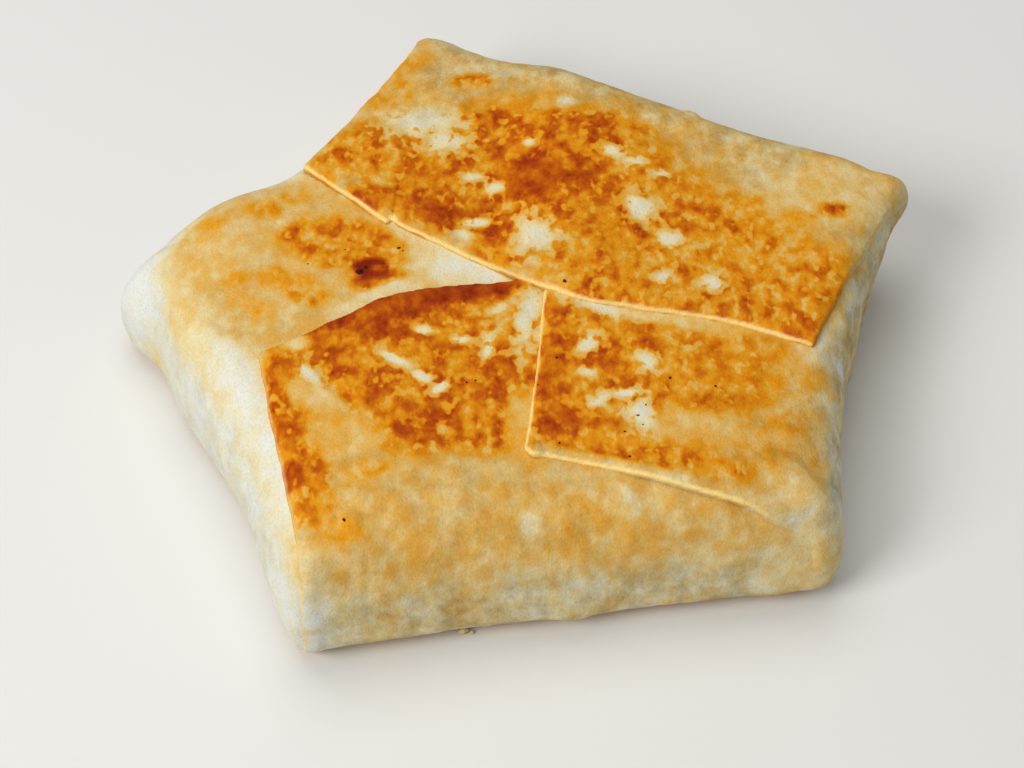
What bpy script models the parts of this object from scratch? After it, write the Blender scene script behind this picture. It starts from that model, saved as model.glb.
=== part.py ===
"""A folded tortilla wrap: one large flour tortilla folded into a flat five-cornered packet and toasted.

The packet is one solid. Its left side and base are the folded tortilla itself, and three more folds lie
on top of it, each a layer of tortilla thicker than what it covers: the front fold, the right fold and the
large back fold, which lies over all the others. The base rests on z = 0 and the origin is under the middle
of its box, with +X to the right, +Y to the back and +Z up. Sizes are in millimetres up to centred().
"""

import math
from collections import namedtuple

import bmesh
import bpy
from mathutils import Vector, noise

MM = 0.001

# The folded packet
DOUGH = 1.8  # thickness of one layer
TOP = 30.0  # height of the pressed top, in the middle, under the folds
CROWN = 1.6  # how much the middle stands above the shoulders
CROWN_RADIUS = 85.0  # where the crown has run out
TILT = (-0.012, -0.012)  # rise of the covered top for each mm to the right and to the back
GIRDLE = 11.0  # height of the widest line
BASE_ROUND = 8.0  # how far the flat base lies in from the widest line
SIDE_POWER = 2.5  # roundness of the sides: 2 is an ellipse, more is boxier
LUMP = 0.9  # height of the soft lumps that the filling makes
LUMP_SPAN = 34.0  # distance from lump to lump

# The outline seen from above, anticlockwise. Each corner has its place, how far its rounding reaches along
# the sides and the width of the shoulder there. Then come the outward bow of the side that follows and the
# width of its shoulder.
Corner = namedtuple("Corner", "x y reach width bow side_width")
OUTLINE = (
    Corner(-93.5, 11.0, 10.5, 13.0, -4.0, 13.0),  # left
    Corner(-47.0, -81.0, 4.5, 10.0, -1.0, 19.0),  # front left
    Corner(66.0, -64.5, 4.0, 14.0, -6.0, 8.5),  # front right
    Corner(88.0, 30.0, 3.5, 7.0, -1.5, 8.5),  # right back
    Corner(-26.0, 86.0, 11.0, 9.0, -0.5, 8.0),  # back
    Corner(-51.5, 41.5, 8.5, 10.0, 1.5, 12.0),  # the knee of the back left side
)

# Mesh density
ROUND = 150  # points around the outline
CORNER_PULL = 12.0  # mm of outline that one radian of turning counts as, which brings points to the corners
SHOULDER_RINGS = 10
TOP_RINGS = 8
BASE_RINGS = 5
CURVE_STEPS = 12  # steps along each corner and each side before they are spaced evenly
EDGE_STEPS = 3  # steps between two points of a fold's edge

# The folds. Each adds its rises to the packet below it: on top at its left end, on top at its right end and
# on the sides. Its edges, seen from above, are smooth curves through a few points that meet at their ends.
# They run clear of the packet wherever the fold goes down a side.
STEP_UP = (-24.0, 10.0)  # from which x to which x the back fold climbs from its left rise to its right rise
SIDE_FADE = (15.0, 27.0)  # heights between which the rise on the sides turns into the rise on top
BASE_FADE = (1.0, 8.5)  # heights between which a fold runs out under the packet
SUNK = -0.6 * DOUGH  # where a fold ends, under the packet's skin
CLEAR = 110.0  # further out than any side
Fold = namedtuple("Fold", "name left_rise right_rise side_rise edges")
FOLDS = (
    Fold(
        "front_fold",
        DOUGH,
        DOUGH,
        0.8 * DOUGH,
        (
            ((-43.0, -CLEAR), (-43.5, -78.5), (-46.5, -61.5), (-52.0, -38.5), (-55.0, -23.0)),
            ((-55.0, -23.0), (-37.0, -12.5), (-25.5, -5.5), (0.0, -1.5), (30.0, 8.0), (CLEAR, 46.0)),
            ((CLEAR, 46.0), (CLEAR, -CLEAR)),
            ((CLEAR, -CLEAR), (-43.0, -CLEAR)),
        ),
    ),
    Fold(
        "right_fold",
        1.95 * DOUGH,
        1.95 * DOUGH,
        1.15 * DOUGH,
        (
            ((9.0, 14.0), (6.0, -7.0), (4.5, -24.5), (2.5, -42.0), (1.5, -48.5)),
            ((1.5, -48.5), (3.0, -51.0), (6.0, -51.0)),
            ((6.0, -51.0), (17.0, -53.5), (33.5, -58.5), (50.0, -63.0), (67.0, -70.0), (CLEAR, -CLEAR)),
            ((CLEAR, -CLEAR), (CLEAR, 48.0)),
            ((CLEAR, 48.0), (9.0, 14.0)),
        ),
    ),
    Fold(
        "back_fold",
        1.1 * DOUGH,
        2.9 * DOUGH,
        1.5 * DOUGH,
        (
            ((-22.0, CLEAR), (-24.0, 79.0), (-32.0, 61.5), (-49.0, 34.5)),
            ((-49.0, 34.5), (-38.5, 24.5), (-28.0, 16.0), (-5.5, 2.5), (11.5, -8.5), (27.0, -12.0)),
            ((27.0, -12.0), (44.0, -14.5), (63.5, -21.5)),
            ((63.5, -21.5), (72.0, -3.0), (81.5, 15.0), (88.0, 25.0), (CLEAR, 42.0)),
            ((CLEAR, 42.0), (CLEAR, CLEAR)),
            ((CLEAR, CLEAR), (-22.0, CLEAR)),
        ),
    ),
)


def smooth(low, high, value):
    """0 up to low, 1 from high on, and an even change between them."""
    share = min(1.0, max(0.0, (value - low) / (high - low)))
    return share * share * (3 - 2 * share)


def bend(start, control, end, share):
    """The point at this share of a quadratic curve."""
    return start * (1 - share) ** 2 + control * 2 * share * (1 - share) + end * share**2


def outline_curve():
    """Points of the outline at z = 0 with the shoulder width there as z, close together but uneven."""
    count = len(OUTLINE)
    places = [Vector((corner.x, corner.y, 0)) for corner in OUTLINE]
    curve = []
    for i, corner in enumerate(OUTLINE):
        following = OUTLINE[(i + 1) % count]
        before, here, after = places[i - 1], places[i], places[(i + 1) % count]
        along = (after - here).normalized()
        outwards = Vector((along.y, -along.x, 0))
        corner_in = here + (before - here).normalized() * corner.reach
        corner_out = here + along * corner.reach
        side_end = after - along * following.reach
        middle = (corner_out + side_end) / 2 + outwards * 2 * corner.bow
        for step in range(CURVE_STEPS):
            point = bend(corner_in, here, corner_out, step / CURVE_STEPS)
            point.z = corner.width
            curve.append(point)
        for step in range(CURVE_STEPS):
            share = step / CURVE_STEPS
            point = bend(corner_out, middle, side_end, share)
            from_end = smooth(0, 0.35, share) * smooth(0, 0.35, 1 - share)
            end_width = corner.width + (following.width - corner.width) * share
            point.z = end_width + (corner.side_width - end_width) * from_end
            curve.append(point)
    return curve


def facing(outline):
    """The outward direction at each point of an outline."""
    directions = []
    for i in range(len(outline)):
        along = (outline[(i + 1) % len(outline)] - outline[i - 1]).to_2d()
        directions.append(Vector((along.y, -along.x)).normalized())
    return directions


def evenly_spaced(curve, count):
    """The closed curve again, as this many points at equal distances along it, closer where it turns."""
    ends = curve[1:] + curve[:1]
    faced = facing(curve)
    turns = [a.angle(b) for a, b in zip(faced, faced[1:] + faced[:1])]
    lengths = [(b - a).to_2d().length + CORNER_PULL * turn for a, b, turn in zip(curve, ends, turns)]
    pitch = sum(lengths) / count
    spaced, walked, wanted = [], 0.0, 0.0
    for start, end, length in zip(curve, ends, lengths):
        while wanted < walked + length and len(spaced) < count:
            spaced.append(start.lerp(end, (wanted - walked) / length))
            wanted += pitch
        walked += length
    return spaced


def top_height(x, y):
    """Height of the pressed top, with the filling's lumps in it."""
    crown = CROWN * (1 - (x * x + y * y) / CROWN_RADIUS**2)
    lumps = LUMP * noise.noise(Vector((x, y, 7.0)) / LUMP_SPAN)
    return TOP + crown + lumps + TILT[0] * x + TILT[1] * y


def packet_rings():
    """Rings of points from the middle of the base, round the side, to the middle of the top."""
    outline = evenly_spaced(outline_curve(), ROUND)
    normals = facing(outline)
    power = 2 / SIDE_POWER
    base, side = [], []
    for step in range(BASE_RINGS + 1):
        turn = math.pi / 2 * (1 - step / BASE_RINGS)
        base.append((1 - math.cos(turn) ** power, math.sin(turn) ** power))
    for step in range(1, SHOULDER_RINGS + 1):
        turn = math.pi / 2 * step / SHOULDER_RINGS
        side.append((1 - math.cos(turn) ** power, math.sin(turn) ** power))

    def ring(inset, height):
        """Points this far in from the outline, as inset(width) says, at the height that height(x, y) says."""
        points = []
        for spot, normal in zip(outline, normals):
            reach = spot.to_2d().dot(normal)
            x, y = spot.to_2d() * (1 - inset(spot.z) / reach)
            points.append(Vector((x, y, height(x, y))))
        return points

    rings = []
    for inwards, drop in base:
        rings.append(ring(lambda width: inwards * BASE_ROUND, lambda x, y: GIRDLE * (1 - drop)))
    for inwards, rise in side:
        rings.append(
            ring(
                lambda width: inwards * width,
                lambda x, y: GIRDLE + (top_height(x, y) - GIRDLE) * rise,
            )
        )
    shoulder = rings[-1]
    for step in range(1, TOP_RINGS):
        flat = [point * (1 - step / TOP_RINGS) for point in shoulder]
        rings.append([Vector((p.x, p.y, top_height(p.x, p.y))) for p in flat])
    return rings


def lift_skin(body, fold):
    """Moves the skin out by the fold's rise. The lift runs out below, and ends just inside the packet."""
    body.normal_update()
    moves = []
    for vert in body.verts:
        top = fold.left_rise + (fold.right_rise - fold.left_rise) * smooth(*STEP_UP, vert.co.x)
        full = fold.side_rise + (top - fold.side_rise) * smooth(*SIDE_FADE, vert.co.z)
        moves.append(vert.normal * (SUNK + (full - SUNK) * smooth(*BASE_FADE, vert.co.z)))
    for vert, move in zip(body.verts, moves):
        vert.co += move


def place(name, mesh):
    """A new object in the scene with this mesh."""
    thing = bpy.data.objects.new(name, mesh)
    bpy.context.scene.collection.objects.link(thing)
    return thing


def packet(name, fold=None):
    """The folded packet as one closed mesh. A fold that lies over it lifts its skin."""
    mesh = bpy.data.meshes.new(name)
    body = bmesh.new()
    rings = [[body.verts.new(p) for p in ring] for ring in packet_rings()]
    for lower, upper in zip(rings, rings[1:]):
        for i in range(ROUND):
            j = (i + 1) % ROUND
            body.faces.new((lower[i], lower[j], upper[j], upper[i]))
    for ring, below, height in ((rings[0], True, 0.0), (rings[-1], False, top_height(0, 0))):
        hub = body.verts.new((0, 0, height))
        for i in range(ROUND):
            j = (i + 1) % ROUND
            body.faces.new((ring[j], ring[i], hub) if below else (ring[i], ring[j], hub))
    if fold:
        lift_skin(body, fold)
    body.to_mesh(mesh)
    body.free()
    return place(name, mesh)


def edge_curve(points):
    """A smooth curve through the points of one edge, without its last point."""
    points = [Vector(point) for point in points]
    before = [points[0] * 2 - points[1]] + points[:-2]
    after = points[2:] + [points[-1] * 2 - points[-2]]
    curve = []
    for a, start, end, b in zip(before, points, points[1:], after):
        leave, arrive = (end - a) / 2, (b - start) / 2
        for step in range(EDGE_STEPS):
            t = step / EDGE_STEPS
            curve.append(
                start * (2 * t**3 - 3 * t**2 + 1)
                + leave * (t**3 - 2 * t**2 + t)
                + end * (3 * t**2 - 2 * t**3)
                + arrive * (t**3 - t**2)
            )
    return curve


def upright_block(name, edges):
    """A tall block with these edges, seen from above."""
    mesh = bpy.data.meshes.new(name)
    block = bmesh.new()
    plan = [point for edge in edges for point in edge_curve(edge)]
    floor = block.faces.new([block.verts.new((x, y, -TOP)) for x, y in plan])
    raised = bmesh.ops.extrude_face_region(block, geom=[floor])["geom"]
    upper = [v for v in raised if isinstance(v, bmesh.types.BMVert)]
    bmesh.ops.translate(block, vec=(0, 0, 3 * TOP), verts=upper)
    bmesh.ops.recalc_face_normals(block, faces=block.faces)
    block.to_mesh(mesh)
    block.free()
    return place(name, mesh)


def apply_modifiers(thing):
    """Makes the evaluated shape the object's own mesh."""
    graph = bpy.context.evaluated_depsgraph_get()
    made = bpy.data.meshes.new_from_object(thing.evaluated_get(graph))
    thing.modifiers.clear()
    thing.data = made


def folded_over(fold):
    """One fold of the tortilla: the lifted skin of the packet, cut along the fold's edges."""
    skin = packet(fold.name, fold)
    block = upright_block(fold.name + "_block", fold.edges)
    cut = skin.modifiers.new("edges", "BOOLEAN")
    cut.operation = "INTERSECT"
    cut.solver = "EXACT"
    cut.object = block
    apply_modifiers(skin)
    bpy.data.objects.remove(block)
    return skin


def folded_tortilla():
    """The packet and its folds, joined into one solid."""
    whole = packet("folded_tortilla")
    layers = bpy.data.collections.new("folds")
    for fold in FOLDS:
        layer = folded_over(fold)
        bpy.context.scene.collection.objects.unlink(layer)
        layers.objects.link(layer)
    join = whole.modifiers.new("folds", "BOOLEAN")
    join.operation = "UNION"
    join.operand_type = "COLLECTION"
    join.solver = "EXACT"
    join.collection = layers
    apply_modifiers(whole)
    for layer in list(layers.objects):
        bpy.data.objects.remove(layer)
    bpy.data.collections.remove(layers)
    return whole


def centred(mesh):
    """Rests the mesh's box on z = 0 with the origin under its middle, and turns it to metres."""
    low = Vector(min(vert.co[axis] for vert in mesh.vertices) for axis in range(3))
    high = Vector(max(vert.co[axis] for vert in mesh.vertices) for axis in range(3))
    under = Vector(((low.x + high.x) / 2, (low.y + high.y) / 2, low.z))
    for vert in mesh.vertices:
        vert.co = (vert.co - under) * MM


def tortilla_finish():
    """Toasted flour tortilla: matt, pale and warm."""
    material = bpy.data.materials.new("toasted_tortilla")
    material.use_nodes = True
    shader = material.node_tree.nodes["Principled BSDF"]
    shader.inputs["Base Color"].default_value = (0.72, 0.42, 0.16, 1)
    shader.inputs["Roughness"].default_value = 0.62
    shader.inputs["Metallic"].default_value = 0.0
    return material


def main():
    for leftover in list(bpy.data.objects):
        bpy.data.objects.remove(leftover)
    wrap = folded_tortilla()
    centred(wrap.data)
    wrap.data.shade_smooth()
    wrap.data.set_sharp_from_angle(angle=math.radians(35))
    wrap.data.materials.clear()
    wrap.data.materials.append(tortilla_finish())


main()
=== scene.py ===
"""A toasted tortilla wrap, dressed on its frame: the packet with three folds of tortilla over it.

Sizes are in millimetres from the middle of the wrap's base, with +X to the right, +Y to the back and +Z
up, and become metres where a mesh is made.
"""

import math
from collections import namedtuple

import bpy
import numpy as np
from mathutils import Matrix, Vector, noise


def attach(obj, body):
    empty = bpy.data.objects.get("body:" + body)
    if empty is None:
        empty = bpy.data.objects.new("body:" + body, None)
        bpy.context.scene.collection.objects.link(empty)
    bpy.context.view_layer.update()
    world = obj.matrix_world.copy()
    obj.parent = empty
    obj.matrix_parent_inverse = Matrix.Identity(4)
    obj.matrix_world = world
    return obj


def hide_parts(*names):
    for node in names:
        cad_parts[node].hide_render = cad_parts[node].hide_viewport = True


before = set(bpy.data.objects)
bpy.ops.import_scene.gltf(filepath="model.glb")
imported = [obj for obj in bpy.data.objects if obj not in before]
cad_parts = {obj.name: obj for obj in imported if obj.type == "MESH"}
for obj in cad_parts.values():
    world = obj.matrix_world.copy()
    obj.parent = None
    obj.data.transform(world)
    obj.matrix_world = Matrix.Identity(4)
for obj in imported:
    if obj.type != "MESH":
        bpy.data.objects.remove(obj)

bl_info = {
    "name": "Toasted Tortilla Wrap",
    "version": (1, 0, 0),
    "blender": (4, 5, 0),
    "location": "View3D > Sidebar > Tortilla",
    "description": "Builds a toasted tortilla wrap from its packet, folds and crumbs",
    "category": "Object",
}

MM = 0.001
NODE = "folded_tortilla"
BODY = "root"
NOISE_SEED = 1  # without one, the vector noise has other offsets in each run
noise.seed_set(NOISE_SEED)

# ---------------- the folded packet, as its frame has it
DOUGH = 1.8  # thickness of one layer
TOP = 30.0  # height of the pressed top, in the middle, under the folds
CROWN = 1.6  # how much the middle stands above the shoulders
CROWN_RADIUS = 85.0
TILT = (-0.012, -0.012)
GIRDLE = 11.0  # height of the widest line
BASE_ROUND = 8.0  # how far the flat base lies in from the widest line
SIDE_POWER = 2.5  # roundness of the sides: 2 is an ellipse, more is boxier
LUMP = 0.9  # height of the soft lumps that the filling makes
LUMP_SPAN = 34.0
CENTRE = (0.025, 1.796)  # the middle of the wrap's box, where the outline below has its own zero

Corner = namedtuple("Corner", "x y reach width bow side_width")
OUTLINE = (
    Corner(-93.5, 11, 10.5, 13, -4, 13),  # left
    Corner(-47, -81, 4.5, 10, -1, 19),  # front left
    Corner(66, -64.5, 4, 14, -6, 8.5),  # front right
    Corner(88, 30, 3, 4, -1.5, 8),  # right back
    Corner(-26, 86, 11, 9, -0.5, 8),  # back
    Corner(-51.5, 41.5, 8.5, 10, 1.5, 12),  # the knee of the back left side
)
ROUND = 360  # points around the outline
CORNER_PULL = 9.0
SHOULDER_RINGS = 22
TOP_RINGS = 22
BASE_RINGS = 10
CURVE_STEPS = 40

STEP_UP = (-8.0, 12.0)  # from which x to which x the back fold climbs from its left rise to its right rise
SIDE_FADE = (15.0, 27.0)  # heights between which the rise on the sides turns into the rise on top
BASE_FADE = (1.0, 8.5)  # heights between which a fold runs out under the packet
SUNK = -0.6 * DOUGH
FOOT = 0.02  # height that the flat base stands at
CLEAR = 110.0
SEATED = 0.4  # how far a fold's underside sits in what it lies on
EDGE_PITCH = 0.8  # distance between the points of a cut edge
WOBBLE = 0.45  # how far a cut edge strays from its line
ROUNDED = (1.1, 2.8)  # how far a cut edge is pressed down, and from how far in
PRESS_FADE = (12.0, 24.0)  # heights between which cut edges start to be pressed down
RAISE_SPAN = 15.0  # length over which a raised edge comes up
MELTED_RISE = -0.1  # a fold's height over the fold below where it melts into it
MELT_BAND = (2.0, 14.0)  # distances from the edge between which a melted fold has its own rise again
MOST_TRIANGLES = 185000  # how many a piece may have
TIGHT = (88.0, 30.0)  # the corner that the folds are drawn tight round
TIGHT_BAND = (2.0, 16.0)  # distances from it between which they come free again
TIGHT_SHARE = 0.5  # how much of their rise they lose there

# A pull moves the packet's skin round one place: its reach, the heights between which it sets in, and how
# far it moves
Pull = namedtuple("Pull", "x y reach low high move")
PULLS = (
    Pull(-93.5, 11, 34, 8, 27, (0.5, 0.5, -6)),
    Pull(-84, -6, 16, -1, 0, (2.4, 0.8, 0)),
    Pull(88, 32, 34, 28, 4, (-5.2, -1.8, 0)),
    Pull(88, 30, 18, -1, 0, (-0.7, 0, 0)),
    Pull(88, 30, 17, 18, 29, (0, 0, 2)),
    Pull(88, 31, 8, 17, 27, (3.4, 1.2, 0)),
    Pull(-49, -80, 13, -1, 0, (1.8, -0.4, 0)),
    Pull(-60, -48, 30, 20, 2, (1.4, 0.6, 0)),
)

# An edge of a fold, seen from above, in the outline's coordinates. pale is how untoasted its rim looks, and
# band how far the pale rim reaches onto the top.
Edge = namedtuple("Edge", "pale points band", defaults=(0,))
# A fold adds its rises to the packet: on top at its left end and its right end, and on the sides. Along its
# raised edge it stands off what it covers, from start to end in x, and by melt_end it has melted into the
# fold below.
Fold = namedtuple("Fold", "name left_rise right_rise side_rise edges raised")
Raised = namedtuple("Raised", "edge height reach start end melt_end")
FRONT_FOLD = Fold(
    "front_fold",
    DOUGH,
    DOUGH,
    0.8 * DOUGH,
    (
        Edge(0.3, ((-43, -CLEAR), (-43.5, -78.5), (-46.5, -61.5), (-52, -38.5), (-55, -23))),
        Edge(0, ((-55, -23), (-37, -12.5), (-25.5, -5.5), (0, -1.5), (18, 3))),
        Edge(0, ((18, 3), (17, -36))),
        Edge(0, ((17, -36), (52, -42), (CLEAR, -44))),
        Edge(0, ((CLEAR, -44), (CLEAR, -CLEAR))),
        Edge(0, ((CLEAR, -CLEAR), (-43, -CLEAR))),
    ),
    None,
)
RIGHT_FOLD = Fold(
    "right_fold",
    1.95 * DOUGH,
    1.95 * DOUGH,
    1.15 * DOUGH,
    (
        Edge(1, ((9, 14), (6, -7), (4.5, -24.5), (2.5, -42), (1.5, -48.5))),
        Edge(1, ((1.5, -48.5), (3, -51), (6, -51)), 0.8),
        Edge(
            1,
            ((6, -51), (17, -53.5), (33.5, -58.5), (50, -63), (67, -70), (CLEAR, -CLEAR)),
            1.6,
        ),
        Edge(0, ((CLEAR, -CLEAR), (CLEAR, 48))),
        Edge(0, ((CLEAR, 48), (9, 14))),
    ),
    Raised(2, 1, 6, 14, 46, 64),
)
BACK_FOLD = Fold(
    "back_fold",
    1.1 * DOUGH,
    2.9 * DOUGH,
    1.5 * DOUGH,
    (
        Edge(0.6, ((-22, CLEAR), (-24, 79), (-32, 61.5), (-49, 34.5))),
        Edge(1, ((-49, 34.5), (-38.5, 24.5), (-28.8, 15.6))),
        Edge(1, ((-28.8, 15.6), (-27.8, 17.6), (-26.6, 15.6))),
        Edge(1, ((-26.6, 15.6), (-5.5, 2.5), (11.5, -8.5), (27, -12))),
        Edge(1, ((27, -12), (44, -14.5), (63.5, -21.5))),
        Edge(0, ((63.5, -21.5), (72, -3), (81.5, 15), (88, 25), (CLEAR, 42))),
        Edge(0, ((CLEAR, 42), (CLEAR, CLEAR))),
        Edge(0, ((CLEAR, CLEAR), (-22, CLEAR))),
    ),
    None,
)

# Small forms in the skin, from the middle of the base: a groove along a line, whose ends may lie on a side,
# and a round blister or pit seen from above. A ridge's depth and a pit's height are less than 0.
Groove = namedtuple("Groove", "x y z end_x end_y end_z width depth")
Blister = namedtuple("Blister", "x y radius height")
PACKET_FORMS = (
    Blister(-34.9, 2.4, 1.3, -0.9), Blister(-31.5, 1.5, 4, 0.5), Blister(-44, 4, 4, 0.3),
    Blister(-68, -18, 6, 0.5), Groove(-86, 0, 28, -92, 2, 8, 3, 0.8),
    Groove(-70, -28, 26, -76, -34, 6, 3.5, 0.7), Groove(-57, -50, 26, -60, -56, 4, 3, 0.9),
    Groove(-50, -72, 30, -50, -80, 2, 1.4, 0.6), Groove(-50.5, 34, 24, -26.5, 80, 24, 10, 1.8),
)
FRONT_FORMS = (
    Blister(-33.5, -69, 3.4, 0.7), Blister(-36.2, -67.6, 1, -0.7),
    Groove(-41, -31, 34, -35, -38, 34, 1.6, 0.5), Groove(-38.5, -78, 27, -39.5, -84, 4, 1, 0.45),
    Groove(11.8, -69, 20, 11.8, -74, 6, 4, -1), Groove(12.2, -72, 17, 12.4, -72.5, 16, 1, 0.9),
    Groove(34, -64, 24, 36, -71, 10, 3, 0.6), Groove(-12, -72, 24, -10, -79, 8, 4, 0.6),
    Groove(50, -64, 20, 54, -69, 6, 3, -0.6),
)
RIGHT_FORMS = (
    Blister(4, -51.3, 2.2, 0.6), Groove(8, -49, 36, 30, -55, 36, 1.6, 0.3),
    Groove(68, -24, 34, 74, -20, 8, 2.6, 1), Groove(70, -14, 34, 76, -10, 8, 2.4, -0.8),
    Groove(66, -38, 32, 70, -40, 8, 3, 0.8), Groove(76, -2, 32, 82, 2, 10, 3, 0.7),
    Groove(58, -62, 28, 66, -70, 12, 2, -0.5),
)
BACK_FORMS = (
    Groove(-27.6, 17, 33, -26.8, 24.5, 33, 0.5, 0.9), Blister(-33, 21, 5, 0.35), Blister(-7, 46, 4, 0.3),
    Groove(27.4, -13, 36, 27.8, -9, 36, 0.6, -0.5), Blister(41, 49, 2.6, 0.6),
)

# ---------------- where the pan toasted it
# How toasted the dough is goes from 0, white and untouched, through 0.3, warmed to beige, 0.5, golden, and
# 0.7, well toasted, to 1, burnt. Each patch is an oval seen from above from the middle of the base: its
# middle, half its length and width, how far it is turned, and how toasted it is. Later ones lie on top.
Patch = namedtuple("Patch", "x y length width turn toast")
# A pale mark is such an oval that hardly touched the pan, so that pale pores run together in it
Pale = namedtuple("Pale", "x y length width turn")
# How toasted the plain top is and how steamed, the same for the sides, whose steam marks on the right fold
# also paint its shade, and the heights between which the top turns into them
Skin = namedtuple("Skin", "plain veil side clouds low high")
PACKET_SKIN = Skin(0.29, 0.25, 0.03, 0.28, 23, 31)
FRONT_SKIN = Skin(0.31, 0.45, 0.16, 0.75, 15, 30)
# The right fold's strong, dark steam marks reach up onto its shoulder and grey its side as painted shade
RIGHT_SKIN = Skin(0.38, 0.6, 0.1, 0.9, 27, 34.5)
BACK_SKIN = Skin(0.24, 0.7, 0.14, 0.8, 24, 34)
# A spot on a side: its middle, half its width and height, and how toasted it is
Spot = namedtuple("Spot", "x y z wide high toast")
PACKET_PATCHES = (
    Patch(-82, -6, 9, 14, -5, 0.12), Patch(-76, -14, 14, 12, -50, 0.22), Patch(-64, -25, 12, 7, -55, 0.12),
    Patch(-54, -48, 28, 8, -74, 0.04), Patch(-70, 6, 10, 8, 0, 0.3), Patch(-68, 16, 4, 3, 20, 0.42),
    Patch(-57, 20, 4.5, 3.5, 0, 0.46), Patch(-50, 24, 4, 3, 0, 0.42), Patch(-62, -2, 3.4, 2.2, 0, 0.42),
    Patch(-60, -8, 4, 3, 0, 0.34), Patch(-50, -3, 9, 4.5, -20, 0.43), Patch(-46, -7, 5, 3, -30, 0.52),
    Patch(-55, -11, 4, 3, -30, 0.4), Patch(-45, 11, 9, 7, 0, 0.58), Patch(-48, 13, 4, 3, 0, 0.62),
    Patch(-42, 4, 5, 3.5, -20, 0.62), Patch(-36, 9, 8, 5, 30, 0.58), Patch(-29, 7.4, 5, 4.6, 0, 0.66),
    Patch(-31, 1, 7.4, 6.2, 0, 0.7), Patch(-31.2, 1, 4.6, 3.9, 0, 1), Patch(-30.4, 0.6, 1.6, 1.1, 0, 0.84),
    Patch(-34, 2.4, 1.5, 1.2, 0, 1), Patch(-11, 1, 16, 7, -20, 0.14), Patch(-10, 1, 8, 3, -20, 0.07),
    Patch(-22, 10, 7, 3, -45, 0.2), Patch(-30, -7, 12, 3, 28, 0.18), Spot(-88, 5, 20, 15, 13, 0),
    Spot(-84, -12, 10, 10, 8, 0.2), Spot(-64, -46, 10, 7, 8, 0.14), Spot(-50, -76, 14, 8, 20, 0.02),
)
FRONT_PATCHES = (
    Patch(-18, -28, 34, 22, 4, 0.64), Patch(-14, -46, 17, 7, 3, 0.62), Patch(-30, -12, 26, 8, 25, 0.8),
    Patch(-12, -6, 17, 5, 5, 0.9), Patch(-40, -17, 12, 5, 30, 0.78), Patch(-24, -20, 13, 2.4, -12, 0.84),
    Patch(-26, -28, 16, 8, 0, 0.68), Patch(-34, -36, 11, 6, -10, 0.66), Patch(-22, -42, 9, 5, 8, 0.74),
    Patch(-8, -34, 7, 9, 8, 0.68), Patch(-50, -23, 5, 4, 20, 0.62), Patch(-50, -31, 5, 6, 10, 0.8),
    Patch(-48, -42, 4.5, 12, 8, 0.64), Patch(-44.5, -55, 5.5, 11, 8, 0.72), Patch(-41, -66, 6, 6, 0, 0.54),
    Patch(-36, -71, 5, 4, 0, 0.42), Patch(-31, -57, 6, 3, 10, 0.48), Patch(-41, -38, 8, 4, -45, 0.3),
    Patch(-35, -48, 9, 5, 10, 0.32), Patch(-47, -22, 3.4, 2.6, -20, 0.26), Pale(-44, -31, 5, 1.8, -45),
    Pale(-20, -18, 2.6, 2.2, 0), Pale(-26, -27, 6, 1.8, -35), Pale(-20, -31.5, 4, 2, -30),
    Pale(-16, -34.5, 3.4, 1.8, 35), Pale(-6, -22, 1.8, 5, -20), Pale(-12, -21, 3, 1.3, 0),
    Patch(-4, -12, 3, 1.4, 30, 0.22), Pale(3, -14, 3.4, 12, -6), Patch(2, -44, 4.2, 11, 0, 0.36),
    Spot(-43, -79, 12, 9, 24, 0), Spot(11.8, -71.5, 15, 7, 8, 0.05), Spot(12.2, -72, 16.8, 1.5, 1.5, 0.5),
    Spot(53, -67, 12, 8, 7, 0.1), Spot(38.5, -62, 25.5, 3.5, 5, 0.1), Spot(24, -62, 29, 3.5, 5, 0.13),
    Spot(3, -68, 28, 4, 6, 0.12), Spot(61, -67, 17, 13, 16, 0.22),
)
RIGHT_PATCHES = (
    Patch(24, -30, 30, 20, -12, 0.56), Patch(9, -20, 5, 13, 0, 0.72), Patch(8, -33, 5, 11, 0, 0.78),
    Patch(10, -45, 9, 7, 0, 0.74), Patch(24, -23, 12, 6, 18, 0.68), Patch(20, -33, 9, 3, 20, 0.68),
    Patch(22, -51.5, 15, 4, -14, 0.64), Patch(40, -56, 9, 3, -16, 0.56), Patch(43, -27, 17, 10, -10, 0.5),
    Patch(45, -22, 6, 3, 0, 0.54), Patch(38, -46, 14, 5, -10, 0.33), Pale(15, -23.5, 4.6, 2.2, 45),
    Pale(18, -12.5, 9, 2.4, -20), Patch(36, -16.5, 16, 3, -10, 0.27), Pale(28, -28, 2.8, 3.4, 30),
    Pale(17, -39, 4, 1.8, 40), Pale(23, -37, 5, 1.8, 5), Pale(26, -43, 3.8, 6, 20),
    Pale(15, -31, 2.2, 1.4, 0), Patch(62, -66, 14, 9, -20, 0.2), Patch(70, -24, 6, 12, 15, 0.1),
    Spot(73, -18, 20, 3, 8, 0.24), Spot(61, -67, 17, 13, 16, 0.22),
)
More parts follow.
